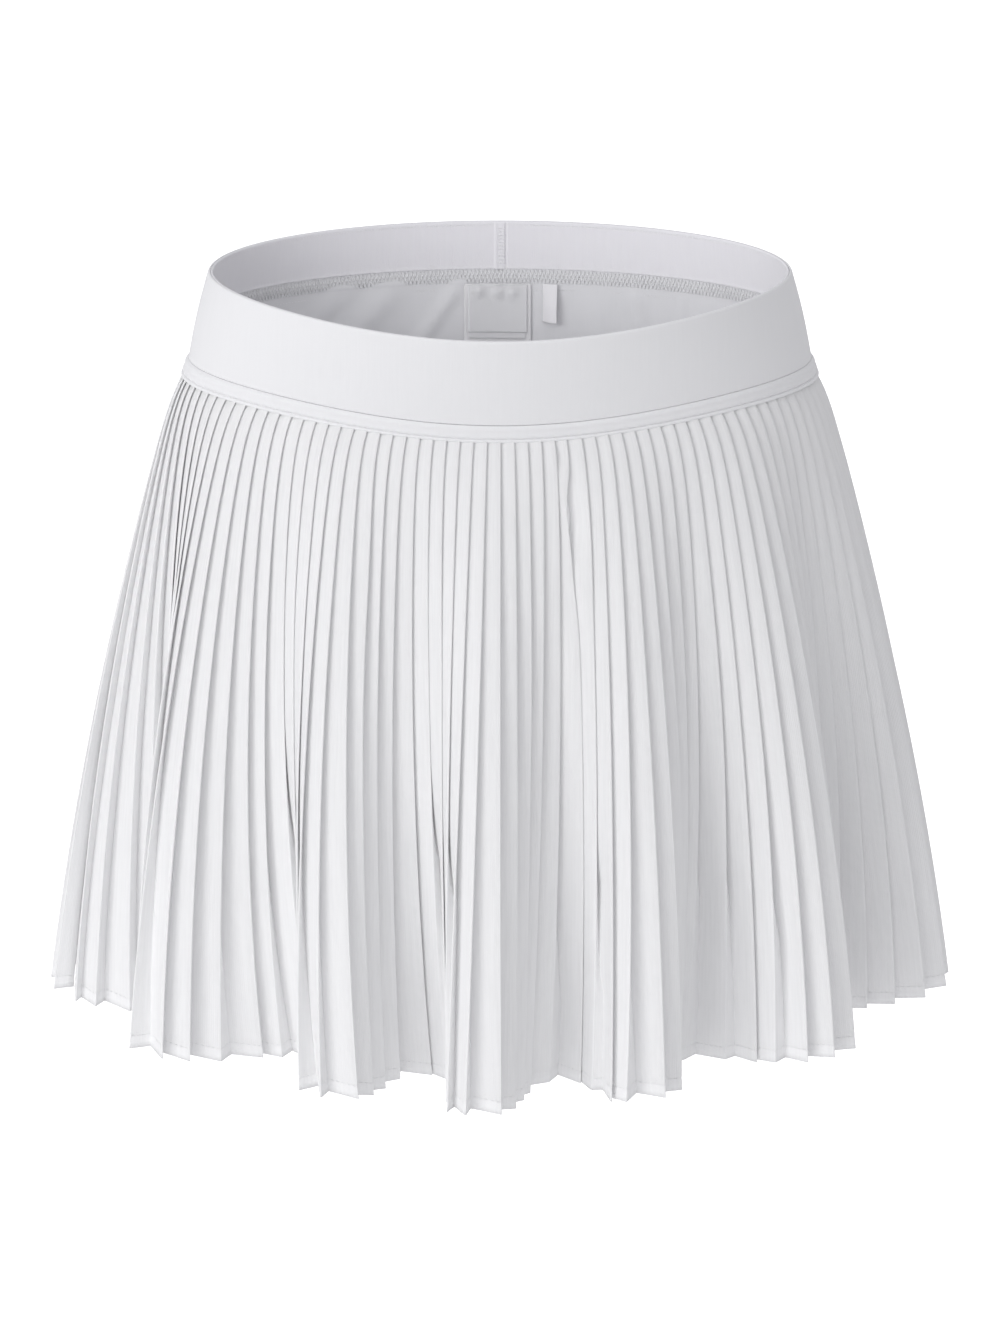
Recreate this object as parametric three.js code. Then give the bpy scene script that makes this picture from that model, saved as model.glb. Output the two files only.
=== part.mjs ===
// Pleated tennis skort in the round, hollow worn shape, millimetres, +Z up, front towards -Y.
// The origin is the centre of the waist, level with the waistband's upper edge at the sides.
import * as THREE from 'three';

// ---- driving dimensions -------------------------------------------------------------------
const WAIST = { halfWidth: 134, halfDepth: 95 };       // oval of the waistband's upper edge
const SEAM = { halfWidth: 145, halfDepth: 81 };        // oval of the same strip at its lower edge
const HEM = { halfWidth: 213.5, halfDepth: 147 };      // oval that the deepest hem waves reach
const FLARE = 0.84;                                    // middle of the waves, as a share of HEM

const BAND_DROP = 41;              // waist edge to the top of the piping, measured down
const PIPING_HEIGHT = 5.2;
const SKIRT_LENGTH = 308;          // cloth from the piping to the hem
const FRONT_DIP_TOP = 9.4;         // the waist edge hangs lower at centre front
const FRONT_DIP_SEAM = 11;         // and so does the seam below it
const DIP_SHARPNESS = 2.6;

const PLEATS = 120;
const PLEAT_STEP_OUT = 4.4;        // stack of folds standing proud just under the piping
const STEP_OUT_RUN = 6;            // reached within this much cloth or so
const EARLY_SPREAD = 0.55;         // the skirt spreads a little faster at first
const WAVE_GROWTH = 1.05;          // and its waves grow in almost evenly

const BAND_WALL = 1.2;
const CLOTH_WALL = 1;
const SEAM_GAP = 0.3;
const FACING_DEPTH = 26;           // facing inside the waistband, down from its upper edge
const FACING_SET_DOWN = 0.6;       // its edge rolls just under the upper edge
const SHORTS_INSET = 3.4;          // shorts hang inside the band and clear of the pleats
const CARE_LABEL = { across: 33, from: 28, to: 56, centre: -1.5 };
const SIZE_LABEL = { across: 8, from: 28.6, to: 50, centre: 24 };

const MITRE_LIMIT = 0.35;          // keeps the inside of a sharp fold from running away
const RING_COLUMNS = 60;
const LEG_COLUMNS = 26;

// Waves of the hem, a row for each, going round from the front to the wearer's left.
// Bearings are degrees round the hem oval, reaches are shares of that oval.
const WAVES = [
  { crestFrom: -6, crestTo: 0, crestReach: 0.99, dipFrom: 8, dipTo: 14, dipReach: 0.66 },
  { crestFrom: 16, crestTo: 24, crestReach: 0.93, dipFrom: 36, dipTo: 40, dipReach: 0.67 },
  { crestFrom: 46, crestTo: 54, crestReach: 0.96, dipFrom: 67, dipTo: 72, dipReach: 0.76 },
  { crestFrom: 82, crestTo: 100, crestReach: 0.99, dipFrom: 108, dipTo: 113, dipReach: 0.76 },
  { crestFrom: 124, crestTo: 133, crestReach: 0.99, dipFrom: 141, dipTo: 146, dipReach: 0.69 },
  { crestFrom: 154, crestTo: 162, crestReach: 0.95, dipFrom: 167, dipTo: 173, dipReach: 0.65 },
  { crestFrom: 178, crestTo: 185, crestReach: 0.98, dipFrom: 190, dipTo: 196, dipReach: 0.64 },
  { crestFrom: 201, crestTo: 209, crestReach: 0.94, dipFrom: 215, dipTo: 221, dipReach: 0.69 },
  { crestFrom: 228, crestTo: 237, crestReach: 1.0, dipFrom: 246, dipTo: 252, dipReach: 0.76 },
  { crestFrom: 260, crestTo: 280, crestReach: 0.99, dipFrom: 289, dipTo: 294, dipReach: 0.76 },
  { crestFrom: 306, crestTo: 313, crestReach: 1.0, dipFrom: 320, dipTo: 325, dipReach: 0.7 },
  { crestFrom: 334, crestTo: 341, crestReach: 0.97, dipFrom: 342, dipTo: 349, dipReach: 0.63 },
];

// Sections of the pleated cloth. along: down the cloth; behind and set: where the inner fold
// lies, in millimetres behind the outer fold and as a share of the way to the next one.
const PLEAT_SECTIONS = [
  { along: 0, behind: 1.2, set: 0.25 },
  { along: 14, behind: 1.8, set: 0.2 },
  { along: 95, behind: 4.6, set: 0.12 },
  { along: 200, behind: 6.6, set: 0.08 },
  { along: SKIRT_LENGTH, behind: 8.2, set: 0.04 },
];

// Outline of the piping's section. proud: millimetres out from the band's surface; down: share
// of its height.
const PIPING_SECTION = [
  { proud: 0.2, down: 0 }, { proud: 1.4, down: 0.22 }, { proud: 1.6, down: 0.6 },
  { proud: 0.2, down: 1 }, { proud: -1.2, down: 1 }, { proud: -1.2, down: 0 },
];

// Sections of one leg of the shorts below the seam. drop: down from the waist edge.
const LEG_SECTIONS = [
  { drop: 85, centre: 0, halfWidth: 146, halfDepth: 75 },
  { drop: 135, centre: 8, halfWidth: 137, halfDepth: 76 },
  { drop: 180, centre: 42, halfWidth: 101, halfDepth: 73 },
  { drop: 212, centre: 64, halfWidth: 79, halfDepth: 69 },
  { drop: 228, centre: 71, halfWidth: 73.5, halfDepth: 67 },
  { drop: 238, centre: 74, halfWidth: 71.5, halfDepth: 66 },
  { drop: 290, centre: 80, halfWidth: 66, halfDepth: 62 },
];

// ---- ovals, edges and the hem outline -----------------------------------------------------
// Every closed line starts at centre front and runs to +X first; share is 0 to 1 of its length.
function oval(halfWidth, halfDepth) {
  const curve = new THREE.EllipseCurve(0, 0, halfWidth, halfDepth, -Math.PI / 2, 1.5 * Math.PI);
  curve.arcLengthDivisions = 720;
  return curve;
}

function pointOn(curve, share) {
  const point = curve.getPointAt(share - Math.floor(share));
  return new THREE.Vector2(point.x, point.y);
}

function hemOutline() {
  const corner = (bearing, reach) => {
    const turn = THREE.MathUtils.degToRad(bearing);
    const x = HEM.halfWidth * reach * Math.sin(turn);
    const y = -HEM.halfDepth * reach * Math.cos(turn);
    return new THREE.Vector3(x, y, 0);
  };
  const corners = WAVES.flatMap((wave) => [
    corner(wave.crestFrom, wave.crestReach),
    corner(wave.crestTo, wave.crestReach),
    corner(wave.dipFrom, wave.dipReach),
    corner(wave.dipTo, wave.dipReach),
  ]);
  corners.push(corners.shift());
  const curve = new THREE.CatmullRomCurve3(corners, true, 'centripetal');
  curve.arcLengthDivisions = 1440;
  return curve;
}

const waistLine = oval(WAIST.halfWidth, WAIST.halfDepth);
const seamLine = oval(SEAM.halfWidth, SEAM.halfDepth);
const flareLine = oval(HEM.halfWidth * FLARE, HEM.halfDepth * FLARE);
const hemLine = hemOutline();

// How far the front of a line hangs below its sides: deepest at centre front, none behind.
function frontDip(share, depth) {
  const forward = Math.max(0, Math.cos(2 * Math.PI * share));
  return depth * forward ** DIP_SHARPNESS;
}

// ---- waistband surface --------------------------------------------------------------------
// down is the drop at the sides; the plan leans from the waist oval to the seam oval.
const SEAM_DROP = BAND_DROP + PIPING_HEIGHT;

function bandPoint(share, down) {
  const part = down / SEAM_DROP;
  const plan = pointOn(waistLine, share).lerp(pointOn(seamLine, share), part);
  const dip = THREE.MathUtils.lerp(
    frontDip(share, FRONT_DIP_TOP), frontDip(share, FRONT_DIP_SEAM), part);
  return new THREE.Vector3(plan.x, plan.y, -down - dip);
}

// ---- pleated skirt surface ----------------------------------------------------------------
// Plan of an outer fold at a distance down the cloth: from the seam oval out to the flare oval,
// a little faster at first, with the hem's waves growing in on the way.
function foldPlan(share, along) {
  const part = along / SKIRT_LENGTH;
  const seam = pointOn(seamLine, share);
  const flare = pointOn(flareLine, share);
  const wave = pointOn(hemLine, share).sub(flare);
  const outward = seam.clone().normalize();
  const spread = part + EARLY_SPREAD * part * (1 - part);
  const stepOut = PLEAT_STEP_OUT * (1 - Math.exp(-along / STEP_OUT_RUN)) * (1 - part);
  return seam.lerp(flare, spread).addScaledVector(wave, part ** WAVE_GROWTH)
    .addScaledVector(outward, stepOut);
}

// The cloth keeps its length, so what a fold travels outwards it loses in height.
function foldPoint(share, along) {
  const steps = 24;
  let height = bandPoint(share, SEAM_DROP).z - SEAM_GAP;
  let before = foldPlan(share, 0);
  for (let step = 1; step <= steps; step += 1) {
    const here = foldPlan(share, along * step / steps);
    const travel = here.distanceTo(before);
    const piece = along / steps;
    height -= Math.sqrt(Math.max(0, piece ** 2 - travel ** 2));
    before = here;
  }
  return new THREE.Vector3(before.x, before.y, height);
}

// One section of the skirt as a closed ring of outer and inner folds in turn.
function pleatRing({ along, behind, set }) {
  const outer = [];
  for (let pleat = 0; pleat < PLEATS; pleat += 1) {
    outer.push(foldPoint(pleat / PLEATS, along));
  }
  const ring = [];
  outer.forEach((fold, pleat) => {
    const next = outer[(pleat + 1) % PLEATS];
    const chord = next.clone().sub(fold);
    const inward = new THREE.Vector3(-chord.y, chord.x, 0).normalize();
    const inner = fold.clone().addScaledVector(chord, set).addScaledVector(inward, behind);
    ring.push(fold, inner);
  });
  return ring;
}

// ---- walls --------------------------------------------------------------------------------
// Moves every point of a line of points inwards in plan by a wall's thickness, square to both
// of its neighbours, as cloth of even thickness turns a fold.
function insideOf(line, distance, closed) {
  const last = line.length - 1;
  return line.map((point, index) => {
    const before = line[index === 0 ? (closed ? last : 0) : index - 1];
    const after = line[index === last ? (closed ? 0 : last) : index + 1];
    const square = (from, to) => new THREE.Vector2(from.y - to.y, to.x - from.x).normalize();
    const one = index === 0 && !closed ? square(point, after) : square(before, point);
    const two = index === last && !closed ? one.clone() : square(point, after);
    const sharpness = Math.max(MITRE_LIMIT, 1 + one.dot(two));
    const shift = one.clone().add(two).multiplyScalar(distance / sharpness);
    return new THREE.Vector3(point.x + shift.x, point.y + shift.y, point.z);
  });
}

function solidFrom(positions, indices) {
  const geometry = new THREE.BufferGeometry();
  geometry.setAttribute('position', new THREE.Float32BufferAttribute(positions, 3));
  geometry.setIndex(indices);
  return geometry;
}

// A closed solid between an outer and an inner grid of points. Rows run down, columns run
// anticlockwise seen from above; a ring's last column joins its first.
function wallBetween(outer, inner, closed) {
  const rows = outer.length;
  const columns = outer[0].length;
  const positions = [...outer.flat(), ...inner.flat()].flatMap((point) => point.toArray());
  const indices = [];
  const at = (side, row, column) => (side * rows + row) * columns + (column % columns);
  const quad = (a, b, c, d) => indices.push(a, b, c, a, c, d);
  const spans = closed ? columns : columns - 1;
  for (let column = 0; column < spans; column += 1) {
    const next = column + 1;
    for (let row = 0; row < rows - 1; row += 1) {
      quad(at(0, row, column), at(0, row + 1, column), at(0, row + 1, next), at(0, row, next));
      quad(at(1, row, column), at(1, row, next), at(1, row + 1, next), at(1, row + 1, column));
    }
    const foot = rows - 1;
    quad(at(0, 0, next), at(1, 0, next), at(1, 0, column), at(0, 0, column));
    quad(at(0, foot, column), at(1, foot, column), at(1, foot, next), at(0, foot, next));
  }
  if (!closed) {
    const end = columns - 1;
    for (let row = 0; row < rows - 1; row += 1) {
      quad(at(0, row, 0), at(1, row, 0), at(1, row + 1, 0), at(0, row + 1, 0));
      quad(at(0, row, end), at(0, row + 1, end), at(1, row + 1, end), at(1, row, end));
    }
  }
  return solidFrom(positions, indices);
}

// A closed solid whose section is a loop of lines, each line a ring of points.
function sweptRing(lines) {
  const columns = lines[0].length;
  const positions = lines.flat().flatMap((point) => point.toArray());
  const indices = [];
  lines.forEach((_, side) => {
    const nextSide = (side + 1) % lines.length;
    for (let column = 0; column < columns; column += 1) {
      const next = (column + 1) % columns;
      const [a, b] = [side * columns + column, nextSide * columns + column];
      const [c, d] = [nextSide * columns + next, side * columns + next];
      indices.push(a, b, c, a, c, d);
    }
  });
  return solidFrom(positions, indices);
}

function ringOf(pointAt) {
  return Array.from({ length: RING_COLUMNS }, (_, column) => pointAt(column / RING_COLUMNS));
}

// A ring of cloth on the waistband's surface, set inwards from it, between two drops.
function bandRing(drops, inset, wall) {
  const surface = drops.map((down) => ringOf((share) => bandPoint(share, down)));
  const outer = surface.map((line) => insideOf(line, inset, true));
  const inner = surface.map((line) => insideOf(line, inset + wall, true));
  return wallBetween(outer, inner, true);
}

// ---- the pieces ---------------------------------------------------------------------------
function waistbandOuter() {
  return bandRing([0, FACING_DEPTH, BAND_DROP - SEAM_GAP], 0, BAND_WALL);
}

function waistbandFacing() {
  return bandRing([FACING_SET_DOWN, FACING_DEPTH], BAND_WALL + SEAM_GAP, CLOTH_WALL);
}

// A rounded roll between the waistband and the pleats.
function seamPiping() {
  const lines = PIPING_SECTION.map(({ proud, down }) => {
    const line = ringOf((share) => bandPoint(share, BAND_DROP + PIPING_HEIGHT * down));
    return insideOf(line, -proud, true);
  });
  return sweptRing(lines);
}

// Half of the pleated ring, from one side seam to the other. The seams lie in inner folds, and
// each panel stops short of them.
function skirtPanel(firstPleat) {
  const count = PLEATS + 1;
  const panelOf = (ring) => Array.from({ length: count }, (_, step) => (
    ring[(2 * (firstPleat + PLEATS) - 1 + step) % ring.length].clone()));
  const trimmed = (line) => {
    const ends = [[line[0], line[1]], [line[count - 1], line[count - 2]]];
    ends.forEach(([end, neighbour]) => {
      const leg = neighbour.clone().sub(end);
      end.addScaledVector(leg.normalize(), SEAM_GAP);
    });
    return line;
  };
  const rings = PLEAT_SECTIONS.map(pleatRing);
  const outer = rings.map((ring) => trimmed(panelOf(ring)));
  const inner = rings.map((ring) => trimmed(panelOf(insideOf(ring, CLOTH_WALL, true))));
  return wallBetween(outer, inner, false);
}

// Lines of points down the shorts' outer surface on the wearer's +X side, front to back.
// Above the crotch a line ends at the middle of the body, below it closes into a leg.
function legLines() {
  const edge = SEAM_GAP / 2;
  const turned = (column, limit) => (2 * column / LEG_COLUMNS - 1) * limit;
  const columns = Array.from({ length: LEG_COLUMNS + 1 }, (_, column) => column);
  const onBand = (down) => {
    const half = columns.map((column) => bandPoint(column / LEG_COLUMNS / 2, down));
    const line = insideOf(half, SHORTS_INSET, false);
    line[0].x = edge;
    line[LEG_COLUMNS].x = edge;
    return line;
  };
  const onLeg = ({ drop, centre, halfWidth, halfDepth }) => {
    const open = Math.acos(Math.max(-1, (edge - centre) / halfWidth));
    const shut = Math.PI - edge / halfDepth;
    const limit = Math.min(open, shut);
    return columns.map((column) => {
      const turn = turned(column, limit);
      const x = centre + halfWidth * Math.cos(turn);
      return new THREE.Vector3(Math.max(edge, x), halfDepth * Math.sin(turn), -drop);
    });
  };
  return [onBand(FACING_DEPTH + SEAM_GAP), onBand(SEAM_DROP), ...LEG_SECTIONS.map(onLeg)];
}

function shortsHalf(side) {
  const outer = legLines();
  const inner = outer.map((line) => insideOf(line, CLOTH_WALL, false)
    .map((point) => new THREE.Vector3(Math.max(SEAM_GAP / 2, point.x), point.y, point.z)));
  if (side > 0) {
    return wallBetween(outer, inner, false);
  }
  const mirrored = (lines) => lines.map((line) => (
    line.map((point) => new THREE.Vector3(-point.x, point.y, point.z)).reverse()));
  return wallBetween(mirrored(outer), mirrored(inner), false);
}

// A label hangs on the inside of the shorts' back, a clear seam gap in front of its cloth.
function label({ across, from, to, centre }) {
  const columns = 6;
  const rows = 3;
  const inset = SHORTS_INSET + CLOTH_WALL + 2 * SEAM_GAP;
  const bandLength = waistLine.getLength();
  const grid = Array.from({ length: rows + 1 }, (_, row) => {
    const down = THREE.MathUtils.lerp(from, to, row / rows);
    const line = Array.from({ length: columns + 1 }, (_unused, column) => {
      const sideways = centre + across * (0.5 - column / columns);
      return bandPoint(0.5 - sideways / bandLength, down);
    });
    return line;
  });
  const outer = grid.map((line) => insideOf(line, inset, false));
  const inner = grid.map((line) => insideOf(line, inset + CLOTH_WALL, false));
  return wallBetween(outer, inner, false);
}

// ---- assembly -----------------------------------------------------------------------------
const knitWhite = new THREE.MeshStandardMaterial({ color: 0xf1f0f2, roughness: 0.85, metalness: 0 });
const wovenWhite = new THREE.MeshStandardMaterial({ color: 0xf4f4f6, roughness: 0.8, metalness: 0 });
const liningWhite = new THREE.MeshStandardMaterial({ color: 0xe4e2ea, roughness: 0.9, metalness: 0 });
const labelSatin = new THREE.MeshStandardMaterial({ color: 0xe9e8ee, roughness: 0.5, metalness: 0 });

const skort = new THREE.Group();

function add(name, geometry, material) {
  const mesh = new THREE.Mesh(geometry, material);
  mesh.name = name;
  skort.add(mesh);
}

add('waistband_outer', waistbandOuter(), knitWhite);
add('waistband_facing', waistbandFacing(), knitWhite);
add('seam_piping', seamPiping(), knitWhite);
add('skirt_front', skirtPanel(-PLEATS / 4 + 1), wovenWhite);
add('skirt_back', skirtPanel(PLEATS / 4 + 1), wovenWhite);
add('shorts_left', shortsHalf(1), liningWhite);
add('shorts_right', shortsHalf(-1), liningWhite);
add('care_label', label(CARE_LABEL), labelSatin);
add('size_label', label(SIZE_LABEL), labelSatin);

export default skort;
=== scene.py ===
# %% [markdown]
# # A white pleated skort
# A skort is a short skirt with shorts sewn inside its waistband. This one is held up by an
# unseen waist, so it keeps its worn, hollow shape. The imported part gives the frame: its plain
# solids stay for collision, and each cell below makes one finished piece that stands for one.
# The frame has to be loaded before anything is made, because every piece rides on it.

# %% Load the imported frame
import bpy
import numpy as np
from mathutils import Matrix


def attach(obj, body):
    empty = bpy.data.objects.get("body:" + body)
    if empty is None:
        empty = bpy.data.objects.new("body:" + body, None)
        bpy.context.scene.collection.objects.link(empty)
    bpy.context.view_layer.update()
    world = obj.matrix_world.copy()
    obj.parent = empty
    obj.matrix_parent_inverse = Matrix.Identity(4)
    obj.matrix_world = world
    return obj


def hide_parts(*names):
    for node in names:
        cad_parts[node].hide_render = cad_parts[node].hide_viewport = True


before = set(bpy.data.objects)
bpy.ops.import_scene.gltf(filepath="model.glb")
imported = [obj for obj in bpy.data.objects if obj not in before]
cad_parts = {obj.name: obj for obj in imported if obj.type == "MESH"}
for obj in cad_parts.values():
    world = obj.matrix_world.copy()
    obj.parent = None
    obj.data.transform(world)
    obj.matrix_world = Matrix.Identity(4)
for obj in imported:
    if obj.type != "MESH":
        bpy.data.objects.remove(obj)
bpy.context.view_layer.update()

# %% [markdown]
# ## Camera
# The garment is seen from a little above its waist, through a long lens from far away, so its
# sides hardly converge. The camera turns about the X axis only, so its tilt is a quarter turn
# less the elevation.

# %% Camera
ELEVATION = np.radians(18)
DISTANCE = 2.6
LOOK_AT_HEIGHT = -0.192
FOCAL_LENGTH = 149.4     # millimetres, over a sensor 36 mm wide

lens = bpy.data.cameras.new("studio_camera")
lens.lens = FOCAL_LENGTH
lens.sensor_width = 36
camera = bpy.data.objects.new("studio_camera", lens)
camera.location = (0, -DISTANCE * np.cos(ELEVATION), LOOK_AT_HEIGHT + DISTANCE * np.sin(ELEVATION))
camera.rotation_euler = (np.pi / 2 - ELEVATION, 0, 0)
bpy.context.scene.collection.objects.link(camera)
bpy.context.scene.camera = camera
print("camera at", [round(place, 3) for place in camera.location])

# %% [markdown]
# ## Closed lines
# Every ring of the garment is a closed line seen from above: the waist, the seam under the
# band, the flare of the skirt and its waved hem. A maker divides such a line into equal lengths
# of cloth, so each line is stored with the share of its length reached at every point, and a
# point is looked up by its share. Share 0 is centre front and shares run to +X first.
# All sizes are in millimetres until a mesh is made.

# %% Closed lines
WAIST = (134, 97)        # half width and half depth of the band's upper edge
SEAM = (145, 81)         # the same strip at its lower edge
HEM = (213.5, 147)       # the deepest waves of the hem reach this oval
FLARE = 0.84             # middle of the waves, as a share of the hem oval


def walked(line):
    """Length walked along a line at each of its points, starting from 0."""
    return np.concatenate([[0], np.cumsum(np.linalg.norm(np.diff(line, axis=0), axis=-1))])


def closed_line(points):
    """Share of the whole length reached at each point, the points, and the whole length."""
    loop = np.vstack([points, points[:1]])
    reached = walked(loop)
    return reached / reached[-1], loop, reached[-1]


def oval(half_width, half_depth):
    """An ellipse of 1440 points from centre front: (width x sin turn, -depth x cos turn)."""
    turn = np.linspace(0, 2 * np.pi, 1440, endpoint=False)
    return closed_line(np.stack([half_width * np.sin(turn), -half_depth * np.cos(turn)], -1))


def on_line(line, share):
    """Plan point at a share of the line's length, straight between stored points."""
    reached, loop, _ = line
    share = np.mod(share, 1)
    return np.stack([np.interp(share, reached, loop[:, 0]), np.interp(share, reached, loop[:, 1])], -1)


waist_line, seam_line = oval(*WAIST), oval(*SEAM)
flare_line = oval(HEM[0] * FLARE, HEM[1] * FLARE)
print("waist", round(waist_line[2]), "mm round, seam", round(seam_line[2]), "mm round")

# %% [markdown]
# ## The hem's waves
# A skirt with this much cloth can't hang as a cone: its hem swings in and out in a dozen waves.
# A sine wave would look machine made, so each wave has a row of its own, with the start, end and
# reach of its crest and its dip. A smooth closed curve through those corners is the hem.

# %% The hem's waves
WAVES = np.array([
    # crest from, crest to, crest reach, dip from, dip to, dip reach: degrees and shares of HEM
    (-6, 0, 0.99, 8, 14, 0.66), (16, 24, 0.93, 36, 40, 0.67), (46, 54, 0.96, 67, 72, 0.76),
    (82, 100, 0.99, 108, 113, 0.76), (124, 133, 0.99, 141, 146, 0.69),
    (154, 162, 0.95, 167, 173, 0.65), (178, 185, 0.98, 190, 196, 0.64),
    (201, 209, 0.94, 215, 221, 0.69), (228, 237, 1.0, 246, 252, 0.76),
    (260, 280, 0.99, 289, 294, 0.76), (306, 313, 1.0, 320, 325, 0.7),
    (334, 341, 0.97, 342, 349, 0.63),
])


def cubic(t, start, end, leave, arrive):
    """Curve between two points with a slope at each: (2t^3 - 3t^2 + 1) x start + (t^3 - 2t^2 + t)
    x leave + (3t^2 - 2t^3) x end + (t^3 - t^2) x arrive."""
    return ((2 * t**3 - 3 * t**2 + 1) * start + (t**3 - 2 * t**2 + t) * leave
            + (3 * t**2 - 2 * t**3) * end + (t**3 - t**2) * arrive)


def hem_line():
    """Centripetal spline through the waves' corners: cubics whose slopes at the corners weigh
    the stretches on both sides by the root of their lengths."""
    bearing = np.radians(WAVES[:, [0, 1, 3, 4]]).ravel()
    reach = WAVES[:, [2, 2, 5, 5]].ravel()
    corner = np.stack([HEM[0] * reach * np.sin(bearing), -HEM[1] * reach * np.cos(bearing)], -1)
    corner = np.roll(corner, -1, axis=0)
    before, end, after = (np.roll(corner, k, axis=0) for k in (1, -1, -2))

    def clock(a, b):
        return np.sqrt(np.hypot(*(b - a).T))[:, None]

    d0, d1, d2 = clock(before, corner), clock(corner, end), clock(end, after)
    leave = ((corner - before) / d0 - (end - before) / (d0 + d1) + (end - corner) / d1) * d1
    arrive = ((end - corner) / d1 - (after - corner) / (d1 + d2) + (after - end) / d2) * d1
    t = np.linspace(0, 1, 40, endpoint=False)[None, :, None]
    curve = cubic(t, corner[:, None], end[:, None], leave[:, None], arrive[:, None])
    return closed_line(curve.reshape(-1, 2))


waved_line = hem_line()
print("hem", round(waved_line[2]), "mm round")

# %% [markdown]
# ## Meshes from grids
# A wall of cloth is two grids of points, its right side and its wrong side, joined round the
# edges so that it is closed. Each corner also gets its place on the flat cloth in metres, which
# the weave follows later. Numpy makes all faces at once from row and column numbers.

# %% Meshes from grids
MM = 0.001


def put_mesh(name, points, faces, flat):
    """A smooth-shaded object at the origin. flat holds a place on the cloth per face corner."""
    mesh = bpy.data.meshes.new(name)
    mesh.vertices.add(len(points))
    mesh.vertices.foreach_set("co", (points * MM).astype(np.float32).ravel())
    mesh.loops.add(faces.size)
    mesh.loops.foreach_set("vertex_index", faces.astype(np.int32).ravel())
    mesh.polygons.add(len(faces))
    mesh.polygons.foreach_set("loop_start", np.arange(0, faces.size, 4, dtype=np.int32))
    mesh.polygons.foreach_set("use_smooth", np.ones(len(faces), bool))
    mesh.uv_layers.new(name="cloth").data.foreach_set("uv", (flat * MM).astype(np.float32).ravel())
    mesh.update()
    mesh.validate()
    piece = bpy.data.objects.new(name, mesh)
    bpy.context.scene.collection.objects.link(piece)
    print(name, len(points), "points,", len(faces), "faces")
    return piece


def flat_places(across, down):
    """Grid of places on the flat cloth: across for every column and down for every row."""
    return np.stack(np.broadcast_arrays(across[None, :], down[:, None]), -1)


def wall(name, outer, inner, flat, ring):
    """A closed wall between two grids (rows, columns, 3). Rows run down and columns run
    anticlockwise from above; on a ring the last column joins the first. flat has the same
    rows, and one column more on a ring, so that the pattern doesn't run back at the join."""
    rows, columns = outer.shape[:2]
    row, column = (a.ravel() for a in np.mgrid[0:rows - 1, 0:columns if ring else columns - 1])
    rim, first, last = column[row == 0], 0 * row[column == 0], 0 * row[column == 0] + columns - 1
    tall, foot, top = row[column == 0], np.full(len(rim), rows - 1), np.zeros(len(rim), int)
    patches = [
        [(0, row, column), (0, row + 1, column), (0, row + 1, column + 1), (0, row, column + 1)],
        [(1, row, column), (1, row, column + 1), (1, row + 1, column + 1), (1, row + 1, column)],
        [(0, top, rim + 1), (1, top, rim + 1), (1, top, rim), (0, top, rim)],
        [(0, foot, rim), (1, foot, rim), (1, foot, rim + 1), (0, foot, rim + 1)],
    ]
    if not ring:
        patches += [
            [(0, tall, first), (1, tall, first), (1, tall + 1, first), (0, tall + 1, first)],
            [(0, tall, last), (0, tall + 1, last), (1, tall + 1, last), (1, tall, last)],
        ]
    faces = np.vstack([np.stack([(side * rows + r) * columns + c % columns for side, r, c in patch], -1)
                       for patch in patches])
    places = np.vstack([np.stack([flat[r, c] for _, r, c in patch], 1) for patch in patches])
    points = np.vstack([outer.reshape(-1, 3), inner.reshape(-1, 3)])
    return put_mesh(name, points, faces, places)


def swept_ring(name, lines, flat):
    """A closed ring whose section is a loop of lines (lines, columns, 3), from the right side's
    top edge down and back up the wrong side. flat has one line and one column more."""
    count, columns = lines.shape[:2]
    side, column = (a.ravel() for a in np.mgrid[0:count, 0:columns])
    corners = [(side, column), (side + 1, column), (side + 1, column + 1), (side, column + 1)]
    faces = np.stack([(s % count) * columns + c % columns for s, c in corners], -1)
    places = np.stack([flat[s, c] for s, c in corners], 1)
    return put_mesh(name, lines.reshape(-1, 3), faces, places)


# %% [markdown]
# ## The waistband's surface
# The band is a straight strip of knit, so its upper and lower edges have the same length and
# only their ovals differ. Every piece at the waist is placed on this one surface: a share round
# it, a drop below the upper edge, and how far it stands proud.

# %% The waistband's surface
BAND_DROP = 41           # waist edge down to the piping
PIPING_HEIGHT = 5.2
SEAM_DROP = BAND_DROP + PIPING_HEIGHT
FRONT_DIP_TOP = 9.4      # the edge hangs lower at centre front
FRONT_DIP_SEAM = 11
DIP_SHARPNESS = 2.6      # above 1, the dip keeps to the middle of the front


def front_dip(share, depth):
    """depth x cosine(bearing) to the power of the sharpness, and none behind the sides."""
    return depth * np.maximum(0, np.cos(2 * np.pi * share)) ** DIP_SHARPNESS


def right_of(along):
    """Plan direction on the right of a direction and square to it: (y, -x, 0) / its length.
    On a line that runs anticlockwise it points outwards."""
    square = np.stack([along[..., 1], -along[..., 0], 0 * along[..., 0]], -1)
    return square / np.linalg.norm(square, axis=-1, keepdims=True)


def square_to(lines):
    """The same for each point of open lines."""
    return right_of(np.gradient(lines, axis=-2))


def outward_of(points):
    """Plan direction square to a closed grid's lines, away from its middle."""
    return right_of(np.roll(points, -1, axis=-2) - np.roll(points, 1, axis=-2))


def band_place(share, down):
    """Between the waist oval and the seam oval by the drop's part of the whole, lowered by the
    drop and the front's dip."""
    part = down / SEAM_DROP
    plan = on_line(waist_line, share) * (1 - part)[..., None]
    plan += on_line(seam_line, share) * part[..., None]
    dip = front_dip(share, FRONT_DIP_TOP) * (1 - part) + front_dip(share, FRONT_DIP_SEAM) * part
    return np.concatenate([plan, (-down - dip)[..., None]], -1)


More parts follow.
